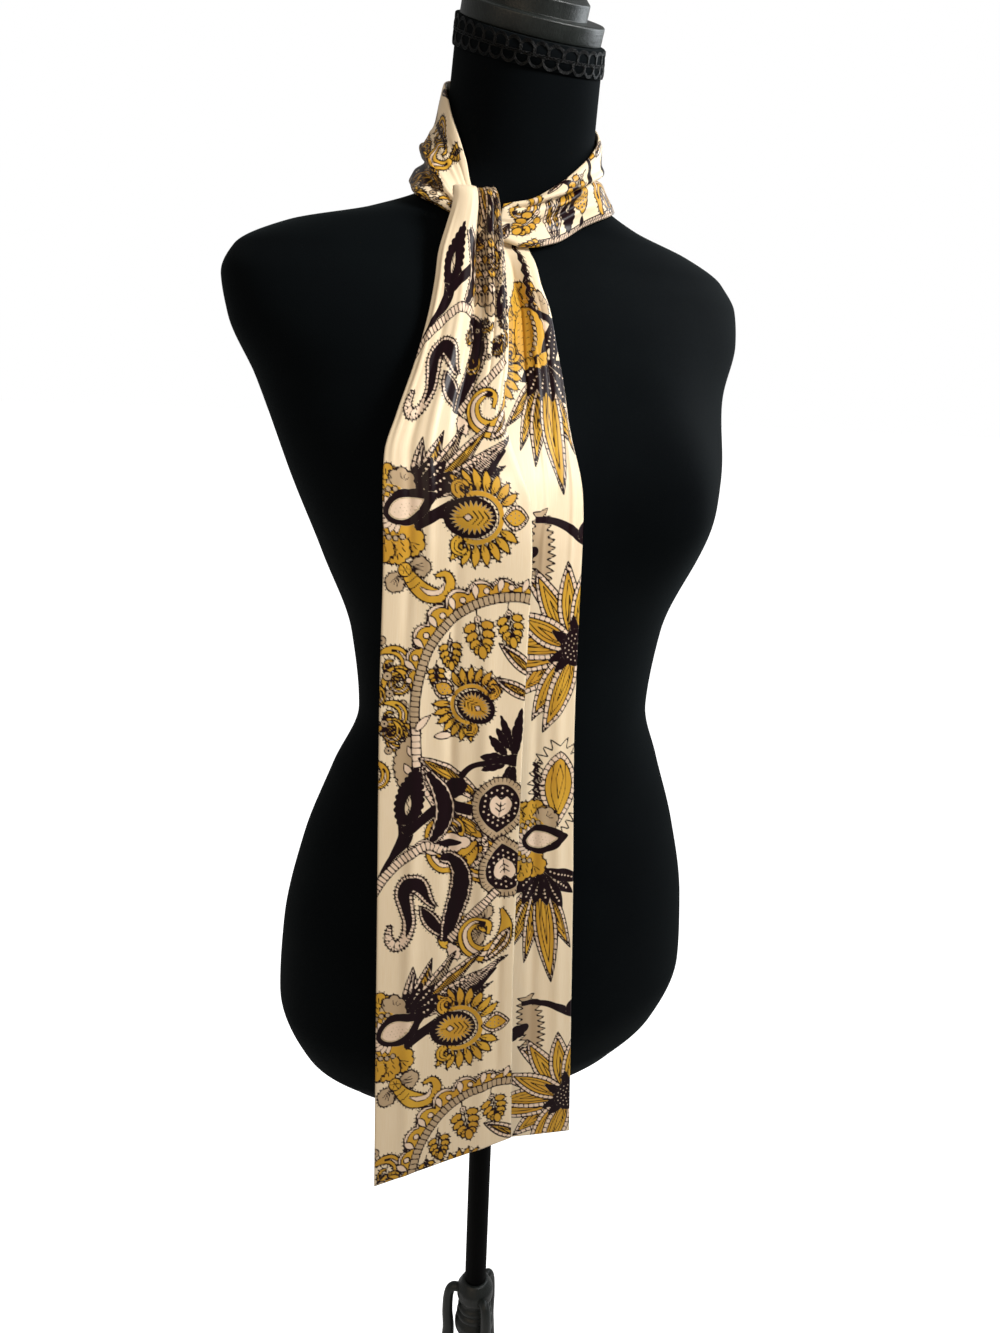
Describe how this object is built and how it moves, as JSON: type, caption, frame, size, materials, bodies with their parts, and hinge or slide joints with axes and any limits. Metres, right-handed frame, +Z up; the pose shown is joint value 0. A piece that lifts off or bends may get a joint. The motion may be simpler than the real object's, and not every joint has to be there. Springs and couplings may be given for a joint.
{
  "type": "neck scarf on a dress form",
  "caption": "Long narrow satin neck scarf looped round the neck of a black dress form and crossed below the throat, its two printed tails hanging down the front of the torso.",
  "frame": {"origin": "on the floor, in the middle of the part's bounds", "axes": "+Z up, the dress form faces -Y, and +X is to the right of someone who looks at its front"},
  "size_m": [0.4238, 0.37, 1.4388],
  "materials": {
    "scarf_satin": "satin",
    "form_velvet": "velvet",
    "braid": "matte",
    "stained_wood": "satin",
    "black_steel": "satin"
  },
  "bodies": {
    "root": {"form_torso": "form_velvet", "form_neck_trim": "braid", "form_neck_cap": "stained_wood", "form_pole": "black_steel", "form_hub": "stained_wood", "form_leg_1": "stained_wood", "form_leg_2": "stained_wood", "form_leg_3": "stained_wood", "form_foot_pad_1": "black_steel", "form_foot_pad_2": "black_steel", "form_foot_pad_3": "black_steel", "scarf_front_tail": "scarf_satin", "scarf_back_tail": "scarf_satin", "scarf_left_band": "scarf_satin", "scarf_right_band": "scarf_satin"}
  },
  "joints": []
}
